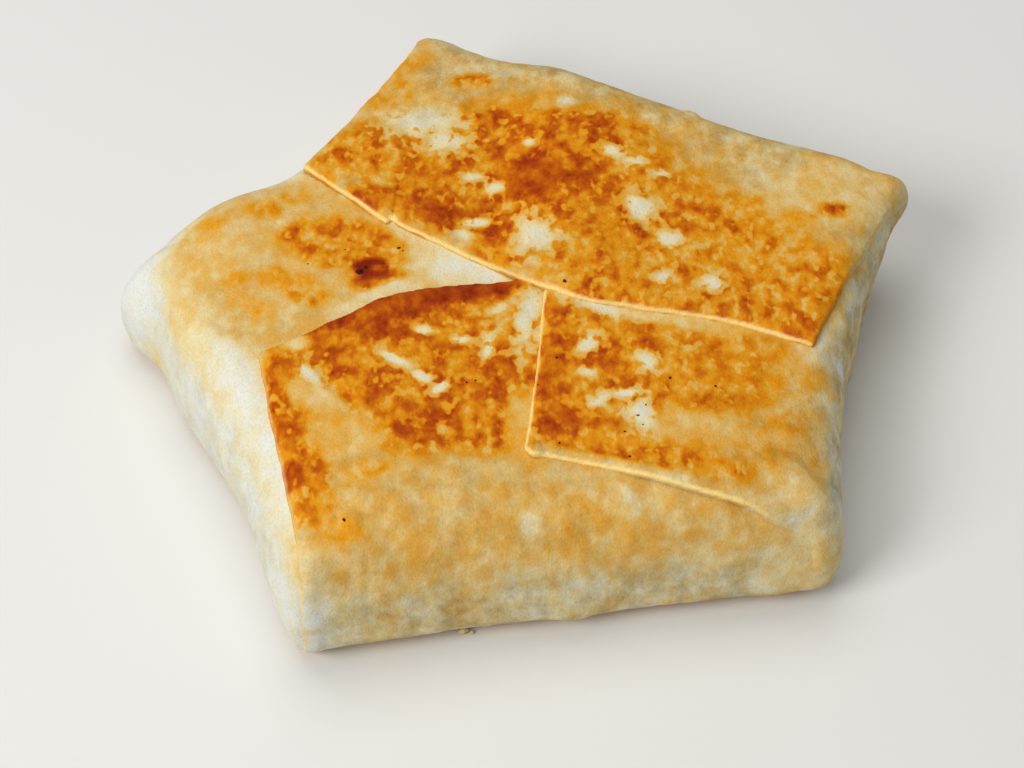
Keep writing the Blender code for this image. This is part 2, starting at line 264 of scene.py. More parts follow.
BACK_PATCHES = (
    Patch(72, 22, 20, 12, 20, 0.27), Spot(93, 34, 16, 12, 18, 0.08), Patch(4, 27, 44, 26, -16, 0.58),
    Patch(46, 0, 28, 19, -24, 0.56), Patch(6, 32, 15, 14, 0, 0.72), Patch(3, 25, 8, 8, 0, 0.84),
    Patch(16, 40, 15, 7, 0, 0.68), Patch(20, 12, 13, 12, 0, 0.68), Patch(-7, 46, 4.5, 3.6, 0, 0.74),
    Patch(-10, 60, 6, 3, 0, 0.62), Patch(-38, 36, 11, 8, 40, 0.64), Patch(-28, 60, 5, 15, -25, 0.46),
    Patch(-33, 21, 6, 4.6, -40, 0.72), Patch(-15, 15, 17, 4.6, -26, 0.8), Patch(-18, 30, 13, 5, 0, 0.68),
    Patch(-4, 4, 8, 3, -30, 0.66), Patch(20, -4, 17, 5, -12, 0.64), Patch(45, 11, 12, 9, 0, 0.57),
    Patch(45, -8, 14, 6, -12, 0.57), Patch(62, -6, 12, 11, 30, 0.55), Patch(54, -14, 12, 4, -18, 0.68),
    Patch(20, -9, 16, 5, -12, 0.62), Patch(42, -14, 20, 5, -12, 0.62), Patch(58, -20, 10, 5, -22, 0.62),
    Patch(71, 16, 3.4, 2.6, 0, 0.64), Patch(63, 13, 5, 3, 0, 0.42), Patch(52, 18, 4, 2.4, 0, 0.46),
    Pale(-22, 46, 11, 7, -10), Pale(-16, 38.5, 6, 4.4, 0), Pale(4, 7.5, 4.8, 8.4, 10),
    Pale(28, 15, 4.4, 5.4, 20), Pale(34, 6, 3, 3, 0), Pale(22, 33, 3.8, 2.2, -30),
    Pale(27, 30, 2.8, 1.7, 0), Pale(33, 26, 2.2, 1.6, 0), Pale(-5, 24, 2.6, 2.8, 0),
    Pale(-10, 28, 3.6, 2, 0), Pale(-9, 13, 5, 1.7, 10), Pale(-12, 9.5, 3, 1.6, 0),
    Pale(43, -7, 2.6, 3.2, 0), Pale(32, -5, 2.8, 2, 0), Pale(12, 50, 2.8, 1.9, 0), Pale(3, 37, 2, 1.6, 0),
    Pale(-2, 62, 4, 2.4, 0),
)
PATCH_STRAY = ((8.0, 2.2), (2.8, 1.5))  # each span of the noise, and how far it moves a patch's outline
# How mottled the dough is, and how much of it shows pale pores, at each share of toasting
MOTTLING = ((0.0, 0.12), (0.2, 0.2), (0.36, 0.22), (0.46, 0.5), (0.6, 0.8), (0.8, 0.5), (1.0, 0.1))
PORES = ((0.36, 0.0), (0.48, 0.75), (0.64, 0.7), (0.78, 0.25), (0.9, 0.0))
# Which of the dough's colours it has at each share of toasting
SHADES = (
    (0.0, "chalk"), (0.08, "white"), (0.18, "cream"), (0.31, "beige"), (0.44, "golden"), (0.56, "amber"),
    (0.70, "toasted"), (0.84, "brown"), (1.0, "dark"),
)
PORE_TOAST = 0.27
PALE_TOAST = 0.08
BASE_TOAST = 0.54
CRUMB_TOAST = 0.22
# The upright wall under a pale rim takes a golden tone, darker than the rim, as painted shade
SHADED_WALL_TOAST = 0.42  # on the upright wall of a cut edge
BAND_TOAST = 0.26  # on the pale band along one
BAND_ENDS = (40.0, 60.0)  # between which x that band and its rim fade out
# Such pale spots are also free of the painted shade that the right fold's steam marks carry
STEAMLESS = 0.25  # spots paler than this are free of what steam leaves
# Narrow creases are browned along their line as painted shade
CREASE_WIDTH = 0.7  # grooves narrower than this are browned along their line
CREASE_SHADE_TOAST = 0.5  # for each millimetre of their depth

# Specks that burnt onto the skin, seen from above from the middle of the base: place and length
SPECKS = (
    (-34.5, -0.1, 1.9), (-33.2, 0.9, 1), (-26.1, 7.2, 0.8), (-25.2, 6.4, 0.4), (-38, 6.5, 0.4),
    (10.6, -7.4, 0.9), (8.6, -27.2, 0.6), (4.6, -34.4, 0.5), (32.5, -32.5, 0.7), (42, -34.5, 0.6),
    (8.9, -50, 0.6), (23.3, -53.8, 0.6), (27.1, -40.1, 0.5), (25.4, -43, 0.6), (26.3, -45.4, 0.4),
    (22.5, -47.2, 0.5), (-10.5, -33, 0.5), (-8.6, -32.4, 0.5), (-34.8, -69.4, 0.8), (-46, 2, 0.4),
)
# Crumbs that fell beside the wrap: place, length and height
CRUMBS = ((-11.2, -74, 2.1, 1.6), (-9.4, -74.2, 0.9, 0.7))

CAMERA_AIM = (-0.895, -6.036, 0.0)
CAMERA_HEIGHT = math.radians(50.73)  # its angle over the floor
CAMERA_DISTANCE = 554.2
TOP_LIGHT = 0.68  # its strength, as a share of the key light's


def linear(code):
    """An sRGB hex colour as the linear values that Blender works with."""
    shares = [int(code[i : i + 2], 16) / 255 for i in (0, 2, 4)]
    return [s / 12.92 if s <= 0.04045 else ((s + 0.055) / 1.055) ** 2.4 for s in shares] + [1.0]


# ---------------- what a user would change
def length(name, description, millimetres):
    """A length property with its default in millimetres."""
    return bpy.props.FloatProperty(
        name=name, description=description, default=millimetres * MM, unit="LENGTH", precision=5
    )


def colour(name, description, code):
    """A colour property with its default as sRGB hex."""
    return bpy.props.FloatVectorProperty(
        name=name, description=description, default=linear(code), size=4, subtype="COLOR"
    )


class TortillaSizes(bpy.types.PropertyGroup):
    """Sizes of the tortilla and its surface"""

    packet_voxel: length("Packet detail", "Size of the packet's faces", 0.85)
    fold_voxel: length("Fold detail", "Size of the folds' faces", 0.5)
    ripple: length("Ripples", "Height of the dough's gentle ripples", 0.6)
    ripple_span: length("Ripple span", "Distance from ripple to ripple", 11.0)
    blister: length("Blisters", "Height of the small blisters", 0.22)
    blister_span: length("Blister span", "Distance from blister to blister", 3.4)


class TortillaColours(bpy.types.PropertyGroup):
    """Colours of the dough, from raw to burnt"""

    chalk: colour("Chalk", "Raw floury dough that never touched the pan", "DFE1DA")
    white: colour("White", "Dough that dried without taking colour", "E0D9BC")
    cream: colour("Cream", "Dough that the pan barely warmed", "E2CE98")
    beige: colour("Beige", "Warmed dough", "DEB25E")
    golden: colour("Golden", "Lightly toasted dough", "DF9A1C")
    amber: colour("Amber", "Toasted dough", "DA880A")
    toasted: colour("Toasted", "Well toasted dough", "C66600")
    brown: colour("Brown", "Darkly toasted dough", "AE4600")
    dark: colour("Dark", "Dough just short of burning", "821C00")
    burnt: colour("Burnt", "Scorched dough", "1E0A04")
    rim: colour("Rim", "The cut edge of the dough", "FFE090")
    # On the right fold's side this colour is laid on strongly as painted shade
    clouds: colour("Clouds", "What steam leaves on the sides, laid over their colour", "C0B28C")


class StageSettings(bpy.types.PropertyGroup):
    """Floor, light and camera"""

    floor: colour("Floor", "The plain floor", "E4E2DE")
    key_light: bpy.props.FloatProperty(
        name="Key light", description="Strength of the soft light from the left", default=8.5, unit="POWER"
    )
    fill_light: bpy.props.FloatProperty(
        name="Fill", description="Strength of the light from all round", default=0.34
    )


# ---------------- shaping
def select_only(thing):
    """Operators act on all that is selected, so this leaves one object selected and active."""
    bpy.ops.object.select_all(action="DESELECT")
    thing.select_set(True)
    bpy.context.view_layer.objects.active = thing


def added(operator, **settings):
    """The object that this operator adds, with nothing else selected."""
    bpy.ops.object.select_all(action="DESELECT")
    operator(**settings)
    return bpy.context.object


def apply(thing, kind, **settings):
    """Adds a modifier with these settings and applies it."""
    select_only(thing)
    modifier = thing.modifiers.new(kind.lower(), kind)
    for name, value in settings.items():
        setattr(modifier, name, value)
    bpy.ops.object.modifier_apply(modifier=modifier.name)


def remove(thing):
    """Deletes a helper object with its mesh."""
    select_only(thing)
    bpy.ops.object.delete()


def smooth(low, high, value):
    """0 up to low, 1 from high on, and an even change between them, for one number or an array."""
    share = np.clip((value - low) / (high - low), 0.0, 1.0)
    return share * share * (3 - 2 * share)


def bend(start, control, end, share):
    """The point at this share of a quadratic curve."""
    return start * (1 - share) ** 2 + control * 2 * share * (1 - share) + end * share**2


def outline_curve():
    """Points of the outline with the shoulder width there as z, close together but uneven."""
    count = len(OUTLINE)
    places = [Vector((corner.x, corner.y, 0)) for corner in OUTLINE]
    curve = []
    for i, corner in enumerate(OUTLINE):
        following = OUTLINE[(i + 1) % count]
        before, here, after = places[i - 1], places[i], places[(i + 1) % count]
        along = (after - here).normalized()
        outwards = Vector((along.y, -along.x, 0))
        corner_in = here + (before - here).normalized() * corner.reach
        corner_out = here + along * corner.reach
        side_end = after - along * following.reach
        middle = (corner_out + side_end) / 2 + outwards * 2 * corner.bow
        for step in range(CURVE_STEPS):
            point = bend(corner_in, here, corner_out, step / CURVE_STEPS)
            point.z = corner.width
            curve.append(point)
        for step in range(CURVE_STEPS):
            share = step / CURVE_STEPS
            point = bend(corner_out, middle, side_end, share)
            from_end = smooth(0, 0.35, share) * smooth(0, 0.35, 1 - share)
            end_width = corner.width + (following.width - corner.width) * share
            point.z = end_width + (corner.side_width - end_width) * from_end
            curve.append(point)
    return curve


def facing(outline):
    """The outward direction at each point of an outline."""
    directions = []
    for i in range(len(outline)):
        along = (outline[(i + 1) % len(outline)] - outline[i - 1]).to_2d()
        directions.append(Vector((along.y, -along.x)).normalized())
    return directions


def evenly_spaced(curve, count):
    """The closed curve again, as this many points at equal distances along it, closer where it turns."""
    ends = curve[1:] + curve[:1]
    faced = facing(curve)
    turns = [a.angle(b) for a, b in zip(faced, faced[1:] + faced[:1])]
    lengths = [(b - a).to_2d().length + CORNER_PULL * turn for a, b, turn in zip(curve, ends, turns)]
    pitch = sum(lengths) / count
    spaced, walked, wanted = [], 0.0, 0.0
    for start, end, span in zip(curve, ends, lengths):
        while wanted < walked + span and len(spaced) < count:
            spaced.append(start.lerp(end, (wanted - walked) / span))
            wanted += pitch
        walked += span
    return spaced


def top_height(x, y):
    """Height of the pressed top, with the filling's lumps in it."""
    crown = CROWN * (1 - (x * x + y * y) / CROWN_RADIUS**2)
    lumps = LUMP * noise.noise(Vector((x, y, 7.0)) / LUMP_SPAN)
    return TOP + crown + lumps + TILT[0] * x + TILT[1] * y


def packet_rings():
    """Rings of points from the middle of the base, round the side, to the middle of the top."""
    outline = evenly_spaced(outline_curve(), ROUND)
    normals = facing(outline)
    power = 2 / SIDE_POWER

    def ring(inset, height):
        """Points as far in from the outline as inset(width) says, and as high as height(x, y) says."""
        points = []
        for spot, normal in zip(outline, normals):
            reach = spot.to_2d().dot(normal)
            x, y = spot.to_2d() * (1 - inset(spot.z) / reach)
            points.append(Vector((x, y, height(x, y))))
        return points

    rings = []
    for step in range(BASE_RINGS + 1):
        turn = math.pi / 2 * (1 - step / BASE_RINGS)
        inwards, drop = 1 - math.cos(turn) ** power, math.sin(turn) ** power
        rings.append(ring(lambda width: inwards * BASE_ROUND, lambda x, y: GIRDLE * (1 - drop)))
    for step in range(1, SHOULDER_RINGS + 1):
        turn = math.pi / 2 * step / SHOULDER_RINGS
        inwards, rise = 1 - math.cos(turn) ** power, math.sin(turn) ** power
        rings.append(
            ring(
                lambda width: inwards * width,
                lambda x, y: GIRDLE + (top_height(x, y) - GIRDLE) * rise,
            )
        )
    shoulder = rings[-1]
    for step in range(1, TOP_RINGS):
        flat = [point * (1 - step / TOP_RINGS) for point in shoulder]
        rings.append([Vector((p.x, p.y, top_height(p.x, p.y))) for p in flat])
    return rings


def points_of(thing):
    """The object's points as an array, in millimetres in the outline's coordinates."""
    flat = np.empty(len(thing.data.vertices) * 3)
    thing.data.vertices.foreach_get("co", flat)
    return flat.reshape(-1, 3) / MM + (*CENTRE, 0)


def move_points(thing, points):
    """Puts the object's points at these places, in millimetres in the outline's coordinates."""
    thing.data.vertices.foreach_set("co", ((points - (*CENTRE, 0)) * MM).ravel())
    thing.data.update()


def normals_of(thing):
    """The direction that the skin faces at each point."""
    flat = np.empty(len(thing.data.vertices) * 3)
    thing.data.vertex_normals.foreach_get("vector", flat)
    return flat.reshape(-1, 3)


def packet_solid(name):
    """The smooth packet: a ball with a ring of points for each ring of the packet, moved onto it."""
    rings = packet_rings()
    last = len(rings) + 1
    solid = added(bpy.ops.mesh.primitive_uv_sphere_add, segments=ROUND, ring_count=last, radius=1)
    solid.name = name
    places = []
    for vert in solid.data.vertices:
        ring = round(math.acos(max(-1.0, min(1.0, -vert.co.z))) / math.pi * last)
        turn = round(math.atan2(vert.co.y, vert.co.x) / math.tau * ROUND) % ROUND
        if ring == 0:
            places.append((0, 0, 0))
        elif ring == last:
            places.append((0, 0, top_height(0, 0)))
        else:
            places.append(rings[ring - 1][turn])
    points = np.array(places)
    for pull in PULLS:
        near = 1 - smooth(0, pull.reach, np.hypot(points[:, 0] - pull.x, points[:, 1] - pull.y))
        points = points + (near * smooth(pull.low, pull.high, points[:, 2]))[:, None] * pull.move
    move_points(solid, points)
    return solid


def rise_of(fold, points):
    """How far the fold lifts the packet's skin at each point. The lift runs out below."""
    top = fold.left_rise + (fold.right_rise - fold.left_rise) * smooth(*STEP_UP, points[:, 0])
    full = fold.side_rise + (top - fold.side_rise) * smooth(*SIDE_FADE, points[:, 2])
    return SUNK + (full - SUNK) * smooth(*BASE_FADE, points[:, 2])


def lift_skin(solid, fold, under):
    """Moves the skin out by the fold's rise, or for its underside by less."""
    points = points_of(solid)
    lift = rise_of(fold, points)
    if fold.raised:
        raised = fold.raised
        away = distance_to(points, edge_curve(fold.edges[raised.edge].points))
        near = 1 - smooth(0, raised.reach, away)
        stretch = smooth(raised.start, raised.start + RAISE_SPAN, points[:, 0])
        stretch *= 1 - smooth(raised.end, raised.melt_end, points[:, 0])
        melted = smooth(raised.end, raised.melt_end, points[:, 0]) * (1 - smooth(*MELT_BAND, away))
        lift += raised.height * near * stretch
        lift += melted * (rise_of(FRONT_FOLD, points) + MELTED_RISE - lift)
    lift *= 1 - TIGHT_SHARE * (1 - smooth(*TIGHT_BAND, np.hypot(*(points[:, :2] - TIGHT).T)))
    if under:
        lift -= DOUGH + SEATED
    move_points(solid, points + normals_of(solid) * lift[:, None])


def edge_curve(points):
    """A smooth curve through the points of one edge, without its last point."""
    points = [Vector(point) for point in points]
    before = [points[0] * 2 - points[1]] + points[:-2]
    after = points[2:] + [points[-1] * 2 - points[-2]]
    curve = []
    for a, start, end, b in zip(before, points, points[1:], after):
        leave, arrive = (end - a) / 2, (b - start) / 2
        steps = max(2, round((end - start).length / EDGE_PITCH))
        for step in range(steps):
            t = step / steps
            curve.append(
                start * (2 * t**3 - 3 * t**2 + 1)
                + leave * (t**3 - 2 * t**2 + t)
                + end * (3 * t**2 - 2 * t**3)
                + arrive * (t**3 - t**2)
            )
    return curve


def strayed(point):
    """A point of a cut edge, moved a little off its line as a torn or pressed edge is."""
    wide = noise.noise_vector(Vector((*point, 3.0)) / 9.0)
    fine = noise.noise_vector(Vector((*point, 5.0)) / 2.4)
    return point + (wide.to_2d() + 0.35 * fine.to_2d()) * WOBBLE


def upright_block(fold):
    """A tall block with the fold's edges seen from above: a disc, its rim moved to them, extruded up."""
    plan = [strayed(point) for edge in fold.edges for point in edge_curve(edge.points)]
    block = added(bpy.ops.mesh.primitive_circle_add, vertices=len(plan), radius=1, fill_type="NGON")
    clockwise = sum(a.x * b.y - b.x * a.y for a, b in zip(plan, plan[1:] + plan[:1])) < 0
    if clockwise:
        plan.reverse()
    turned = []
    for vert in block.data.vertices:
        turned.append(round(math.atan2(vert.co.y, vert.co.x) / math.tau * len(plan)) % len(plan))
    move_points(block, np.array([(*plan[i], -TOP) for i in turned]))
    bpy.ops.object.mode_set(mode="EDIT")
    bpy.ops.mesh.select_all(action="SELECT")
    bpy.ops.mesh.extrude_region_move(TRANSFORM_OT_translate={"value": (0, 0, 3 * TOP * MM)})
    bpy.ops.mesh.select_all(action="SELECT")
    bpy.ops.mesh.normals_make_consistent(inside=False)
    bpy.ops.object.mode_set(mode="OBJECT")
    return block


def fold_sheet(fold):
    """One fold as a sheet of dough: the lifted skin with its thickness, cut along the fold's edges."""
    sheet = packet_solid(fold.name)
    lift_skin(sheet, fold, under=False)
    hollow = packet_solid("hollow")
    lift_skin(hollow, fold, under=True)
    block = upright_block(fold)
    apply(sheet, "BOOLEAN", operation="INTERSECT", solver="MANIFOLD", object=block)
    apply(sheet, "BOOLEAN", operation="DIFFERENCE", solver="MANIFOLD", object=hollow)
    remove(block)
    remove(hollow)
    return sheet


def fine_mesh(thing, voxel):
    """Even small faces, with the sharp edges softened as dough's are."""
    apply(thing, "REMESH", mode="VOXEL", voxel_size=voxel * 1.0, adaptivity=0.0)
    apply(thing, "SMOOTH", factor=0.5, iterations=1)


def groove_share(groove, spots):
    """How much of the groove's depth each spot gets."""
    start = np.array((groove.x, groove.y, groove.z))
    along = (groove.end_x, groove.end_y, groove.end_z) - start
    share = np.clip((spots - start) @ along / (along @ along), 0, 1)
    away = np.linalg.norm(spots - start - share[:, None] * along, axis=1)
    return np.exp(-((away / groove.width) ** 2))


def press_edges(thing, edges):
    """Presses the sheet down towards its cut edges on top, so that they taper into what they lie on."""
    apply(thing, "SMOOTH", factor=0.5, iterations=3)
    points = points_of(thing)
    low, reach = ROUNDED
    away = np.full(len(points), np.inf)
    for edge in edges:
        if edge.pale:
            away = np.minimum(away, distance_to(points, [strayed(p) for p in edge_curve(edge.points)]))
    share = np.clip(1 - away / reach, 0, 1) ** 2 * smooth(*PRESS_FADE, points[:, 2])
    move_points(thing, points - share[:, None] * (0, 0, low))


def shape_forms(thing, forms):
    """Presses grooves and pits into the skin, raises blisters on it and sets it flat on its base."""
    points = points_of(thing)
    normals = normals_of(thing)
    spots = points - (*CENTRE, 0)
    move = np.zeros(len(points))
    for form in forms:
        if isinstance(form, Groove):
            move -= form.depth * groove_share(form, spots)
        else:
            away = np.hypot(spots[:, 0] - form.x, spots[:, 1] - form.y) / form.radius
            move += form.height * (1 - smooth(0.25, 1.0, away)) * smooth(0.2, 0.6, normals[:, 2])
    points += normals * move[:, None]
    points[:, 2] = np.maximum(points[:, 2], FOOT)
    move_points(thing, points)


def thin_out(thing):
    """Joins faces where the skin is flattest until the piece is light enough."""
    triangles = sum(len(face.vertices) - 2 for face in thing.data.polygons)
    if triangles > MOST_TRIANGLES:
        apply(thing, "DECIMATE", ratio=MOST_TRIANGLES / triangles)


def ripples(thing, sizes):
    """The gentle ripples and small blisters of baked dough."""
    for name, height, span, depth in (
        ("ripples", sizes.ripple, sizes.ripple_span, 2),
        ("blisters", sizes.blister, sizes.blister_span, 1),
    ):
        texture = bpy.data.textures.new(name, "CLOUDS")
        texture.noise_scale = span
        texture.noise_depth = depth
        apply(thing, "DISPLACE", texture=texture, strength=height, mid_level=0.5, texture_coords="LOCAL")
        bpy.data.textures.remove(texture)


# ---------------- toasting
def distance_to(points, curve):
    """How far each point is from a curve, both seen from above."""
    line = np.array([tuple(point) for point in curve])[:, :2]
    points = points[:, :2]
    nearest = np.full(len(points), np.inf)
    for start, end in zip(line, line[1:]):
        along = end - start
        share = np.clip(((points - start) @ along) / (along @ along + 1e-9), 0, 1)
        nearest = np.minimum(nearest, np.hypot(*(points - start - share[:, None] * along).T))
    return nearest


def patch_cover(patch, spots, strays):
    """How much of a patch, pale mark or spot each point gets: 1 well inside, 0 well outside."""
    if isinstance(patch, Spot):
        away = (spots + strays - (patch.x, patch.y, patch.z)) / (patch.wide, patch.wide, patch.high)
        return 1 - smooth(0.3, 1.0, np.linalg.norm(away, axis=1))
    turn = math.radians(patch.turn)
    x, y = (spots + strays * min(1.0, patch.width / 6) - (patch.x, patch.y, 0))[:, :2].T
    along = (x * math.cos(turn) + y * math.sin(turn)) / patch.length
    across = (y * math.cos(turn) - x * math.sin(turn)) / patch.width
    reach = (0.2, 1.6) if isinstance(patch, Pale) else (0.5, 1.3)
    return 1 - smooth(*reach, np.hypot(along, across))


def keep_values(thing, name, values):
    """Stores a value from 0 to 1 at each point for the finish."""
    attribute = thing.data.attributes.new(name, "FLOAT", "POINT")
    attribute.data.foreach_set("value", np.clip(values, 0, 1).astype(np.float32))


def toast_piece(thing, patches, skin, edges, forms):
    """Stores how toasted, how pale, how clouded by steam and painted shade and how near a cut edge each
    point is.
    """
    points = points_of(thing)
    normals = normals_of(thing)
    strays = np.zeros((len(points), 3))
    for span, far in PATCH_STRAY:
        strays += far * np.array([noise.noise_vector(Vector(point) / span) for point in points])
    spots = points - (*CENTRE, 0)
    on_side = 1 - smooth(skin.low, skin.high, spots[:, 2] + strays[:, 2])
    toast = skin.plain + on_side * (skin.side - skin.plain)
    plain = np.ones(len(points))
    pale = np.zeros(len(points))
    steam_and_shade = on_side * skin.clouds
    for patch in sorted(patches, key=lambda patch: isinstance(patch, Spot)):
        cover = patch_cover(patch, spots, strays)
        if isinstance(patch, Pale):
            pale = np.maximum(pale, cover * (1 - on_side))
            continue
        if isinstance(patch, Patch):
            cover *= 1 - on_side
            plain *= 1 - cover
        elif patch.toast < STEAMLESS:
            steam_and_shade *= 1 - cover
        toast += cover * (patch.toast - toast)
    rim = np.zeros(len(points))
    for edge in edges:
        if not edge.pale:
            continue
        away = distance_to(points, [strayed(p) for p in edge_curve(edge.points)])
        share = edge.pale * (1 - smooth(*BAND_ENDS, points[:, 0])) if edge.band else edge.pale
        rim = np.maximum(rim, share * (1 - smooth(0.2, 0.8, away)))
        # The upright wall under the pale rim is toned golden as painted shade
        wall = (1 - smooth(0.4, 1.0, away)) * (1 - smooth(0.4, 0.9, normals[:, 2]))
        toast += share * wall * (SHADED_WALL_TOAST - toast)
        if edge.band:
            banded = 1 - smooth(edge.band - 0.8, edge.band + 1.2, away)
            toast += share * banded * (BAND_TOAST - toast)
    # Narrow creases are browned by their depth: painted shade in the crease
    for form in forms:
        if isinstance(form, Groove) and form.width < CREASE_WIDTH:
            toast += CREASE_SHADE_TOAST * max(form.depth, 0) * groove_share(form, spots)
    base = smooth(-0.45, -0.95, normals[:, 2]) * (1 - smooth(1.0, 4.0, points[:, 2]))
    toast += base * (BASE_TOAST - toast)
    keep_values(thing, "toast", toast)
    keep_values(thing, "pale", pale)
    keep_values(thing, "clouds", np.maximum(steam_and_shade, plain * (1 - on_side) * skin.veil))
    # The pale rim is the cut edge's own colour, but it is kept to the rounded shoulder that faces up, so the
    # wall below stays darker as painted shade
    rim *= smooth(0.0, 0.35, normals[:, 2]) * (1 - smooth(0.8, 0.95, normals[:, 2]))
    keep_values(thing, "rim", rim * smooth(16.0, 27.0, points[:, 2]))


# ---------------- finishes
def add(material, kind, settings=(), **links):
    """Adds a shader node with its settings, and links or sets its inputs by name."""
    node = material.node_tree.nodes.new("ShaderNode" + kind)
    for name, value in dict(settings).items():
        setattr(node, name, value)
    for name, value in links.items():
        socket = node.inputs[int(name[1:])] if name[0] == "i" and name[1:].isdigit() else node.inputs[name]
        if isinstance(value, bpy.types.NodeSocket):
            material.node_tree.links.new(value, socket)
        else:
            socket.default_value = value
    return node


def toasted_flour_dough(colours):
    """Flour tortilla, baked dry and toasted in a pan: cream dough that goes golden, brown and black in
    mottled patches, matt with a faint gloss of oil on what touched the pan."""
    material = bpy.data.materials.get("toasted_flour_dough")
    if material:
        return material
    material = bpy.data.materials.new("toasted_flour_dough")
    material.use_nodes = True
    material.node_tree.nodes.clear()

    def value_at(name):
        return add(material, "Attribute", {"attribute_name": name}).outputs["Fac"]

    def reckon(operation, a, b=0.0, clamp=False):
        return add(
            material, "Math", {"operation": operation, "use_clamp": clamp}, i0=a, i1=b
        ).outputs[0]

    def mottles(span, detail, roughness, squash=1.0):
        """Noise about 0 with this many millimetres from spot to spot."""
        spread = add(material, "Mapping", Vector=place, Scale=(1, 0.75, squash)).outputs[0]
        spots = add(
            material,
            "TexNoise",
            Vector=spread,
            Scale=1 / (span * MM),
            Detail=detail,
            Roughness=roughness,
        )
        return reckon("SUBTRACT", spots.outputs["Fac"], 0.5)

    def grey(share):
        return (share, share, share, 1)

    def ramp(value, stops):
        node = add(material, "ValToRGB", Fac=value)
        elements = node.color_ramp.elements
        while len(elements) < len(stops):
            elements.new(0.5)
        for element, (position, shade) in zip(elements, stops):
            element.position = position
            element.color = shade
        return node.outputs[0]

    def blend(share, a, b, how="MIX"):
        node = add(material, "Mix", {"data_type": "RGBA", "blend_type": how}, i0=share, i6=a, i7=b)
        return node.outputs[2]

    place = add(material, "TexCoord").outputs["Object"]
    toast, pale, clouds, rim = value_at("toast"), value_at("pale"), value_at("clouds"), value_at("rim")
    wide = mottles(8.0, 1.0, 0.5)
    medium = mottles(3.2, 0.6, 0.5)
    fine = mottles(1.5, 1.0, 0.5)
    grain = mottles(0.5, 1.0, 0.5)
    drifts = mottles(7.0, 3.0, 0.6, 0.55)

    # The more toasted the dough is, the more mottled it is. Pale pores stay where it never touched the pan.
    uneven = reckon("ADD", reckon("MULTIPLY", wide, 0.6), reckon("MULTIPLY", medium, 0.9))
    islands = add(material, "MapRange", {"interpolation_type": "SMOOTHSTEP"}, Value=uneven)
    for socket, number in (("From Min", -0.22), ("From Max", 0.22), ("To Min", -0.22), ("To Max", 0.22)):
        islands.inputs[socket].default_value = number
    uneven = reckon("ADD", islands.outputs[0], reckon("MULTIPLY", fine, 0.6))
    swing = reckon("MULTIPLY", ramp(toast, [(at, grey(share / 2)) for at, share in MOTTLING]), 2.0)
    level = reckon("ADD", toast, reckon("MULTIPLY", uneven, swing), clamp=True)
    holes = reckon("ADD", mottles(2.2, 1.5, 0.55), reckon("MULTIPLY", pale, 0.31))
    pores = ramp(reckon("ADD", holes, 0.5), ((0.54, grey(0)), (0.66, grey(1))))
    porous = reckon("MAXIMUM", ramp(toast, [(at, grey(share)) for at, share in PORES]), pale)
    floury = reckon("SUBTRACT", PORE_TOAST, reckon("MULTIPLY", pale, PORE_TOAST - PALE_TOAST))
    paler = reckon("MULTIPLY", reckon("MULTIPLY", pores, porous), reckon("SUBTRACT", floury, level))
    level = reckon("ADD", level, paler)
    level = reckon("ADD", level, reckon("MULTIPLY", reckon("MULTIPLY", drifts, clouds), 0.6), clamp=True)
    shade = ramp(level, [(at, tuple(getattr(colours, name))) for at, name in SHADES])
    # Steam marks darken the sides. On the right fold they are strong enough to be painted shade too
    cloudy = ramp(
        reckon("ADD", mottles(5.0, 4.0, 0.68, 0.7), 0.5),
        ((0.35, tuple(colours.clouds)), (0.65, grey(1))),
    )
    shade = blend(clouds, shade, cloudy, "MULTIPLY")
    shade = blend(rim, shade, tuple(colours.rim))
    grainy = ramp(reckon("ADD", grain, 0.5), ((0.3, (0.9, 0.88, 0.84, 1)), (0.6, grey(1))))
    shade = blend(0.95, shade, grainy, "MULTIPLY")

    relief = reckon("ADD", reckon("MULTIPLY", grain, 0.35), reckon("MULTIPLY", level, 0.35))
    relief = reckon("ADD", relief, medium)
    bumps = add(material, "Bump", Strength=0.85, Distance=0.4 * MM, Height=relief)
    gloss = ramp(level, ((0.2, grey(0.66)), (0.8, grey(0.52))))
    shader = add(
        material,
        "BsdfPrincipled",
        **{
            "Base Color": shade,
            "Roughness": gloss,
            "IOR": 1.45,
            "Specular IOR Level": 0.09,
            "Subsurface Weight": 0.05,
            "Subsurface Radius": (1.0, 0.55, 0.3),
            "Subsurface Scale": 1.2 * MM,
            "Normal": bumps.outputs[0],
        },
    )
    add(material, "OutputMaterial", Surface=shader.outputs[0])
    return material


def simple_material(name, roughness, specular):
    """A material with the standard shader, and that shader."""
    material = bpy.data.materials.new(name)
    material.use_nodes = True
    shader = material.node_tree.nodes["Principled BSDF"]
    shader.inputs["Roughness"].default_value = roughness
    shader.inputs["Specular IOR Level"].default_value = specular
    return material, shader


def scorched_dough(colours):
    """Specks of flour and dough that burnt to char: black-brown, dull and rough."""
    material, shader = simple_material("scorched_dough", 0.75, 0.2)
    place = add(material, "TexCoord").outputs["Object"]
    grit = add(material, "TexNoise", Vector=place, Scale=1 / (0.3 * MM), Detail=2.0)
    shade = add(
        material,
        "Mix",
        {"data_type": "RGBA"},
        i0=grit.outputs["Fac"],
        i6=tuple(colours.burnt),
        i7=linear("3A1A0C"),
    )
    material.node_tree.links.new(shade.outputs[2], shader.inputs["Base Color"])
    bumps = add(material, "Bump", Strength=0.6, Distance=0.1 * MM, Height=grit.outputs["Fac"])
    material.node_tree.links.new(bumps.outputs[0], shader.inputs["Normal"])
    return material


def painted_floor(colours):
    """Matt white painted board: even and without gloss, so it only takes the wrap's soft shadow."""
    material, shader = simple_material("painted_floor", 0.9, 0.1)
    shader.inputs["Base Color"].default_value = tuple(colours.floor)
    return material


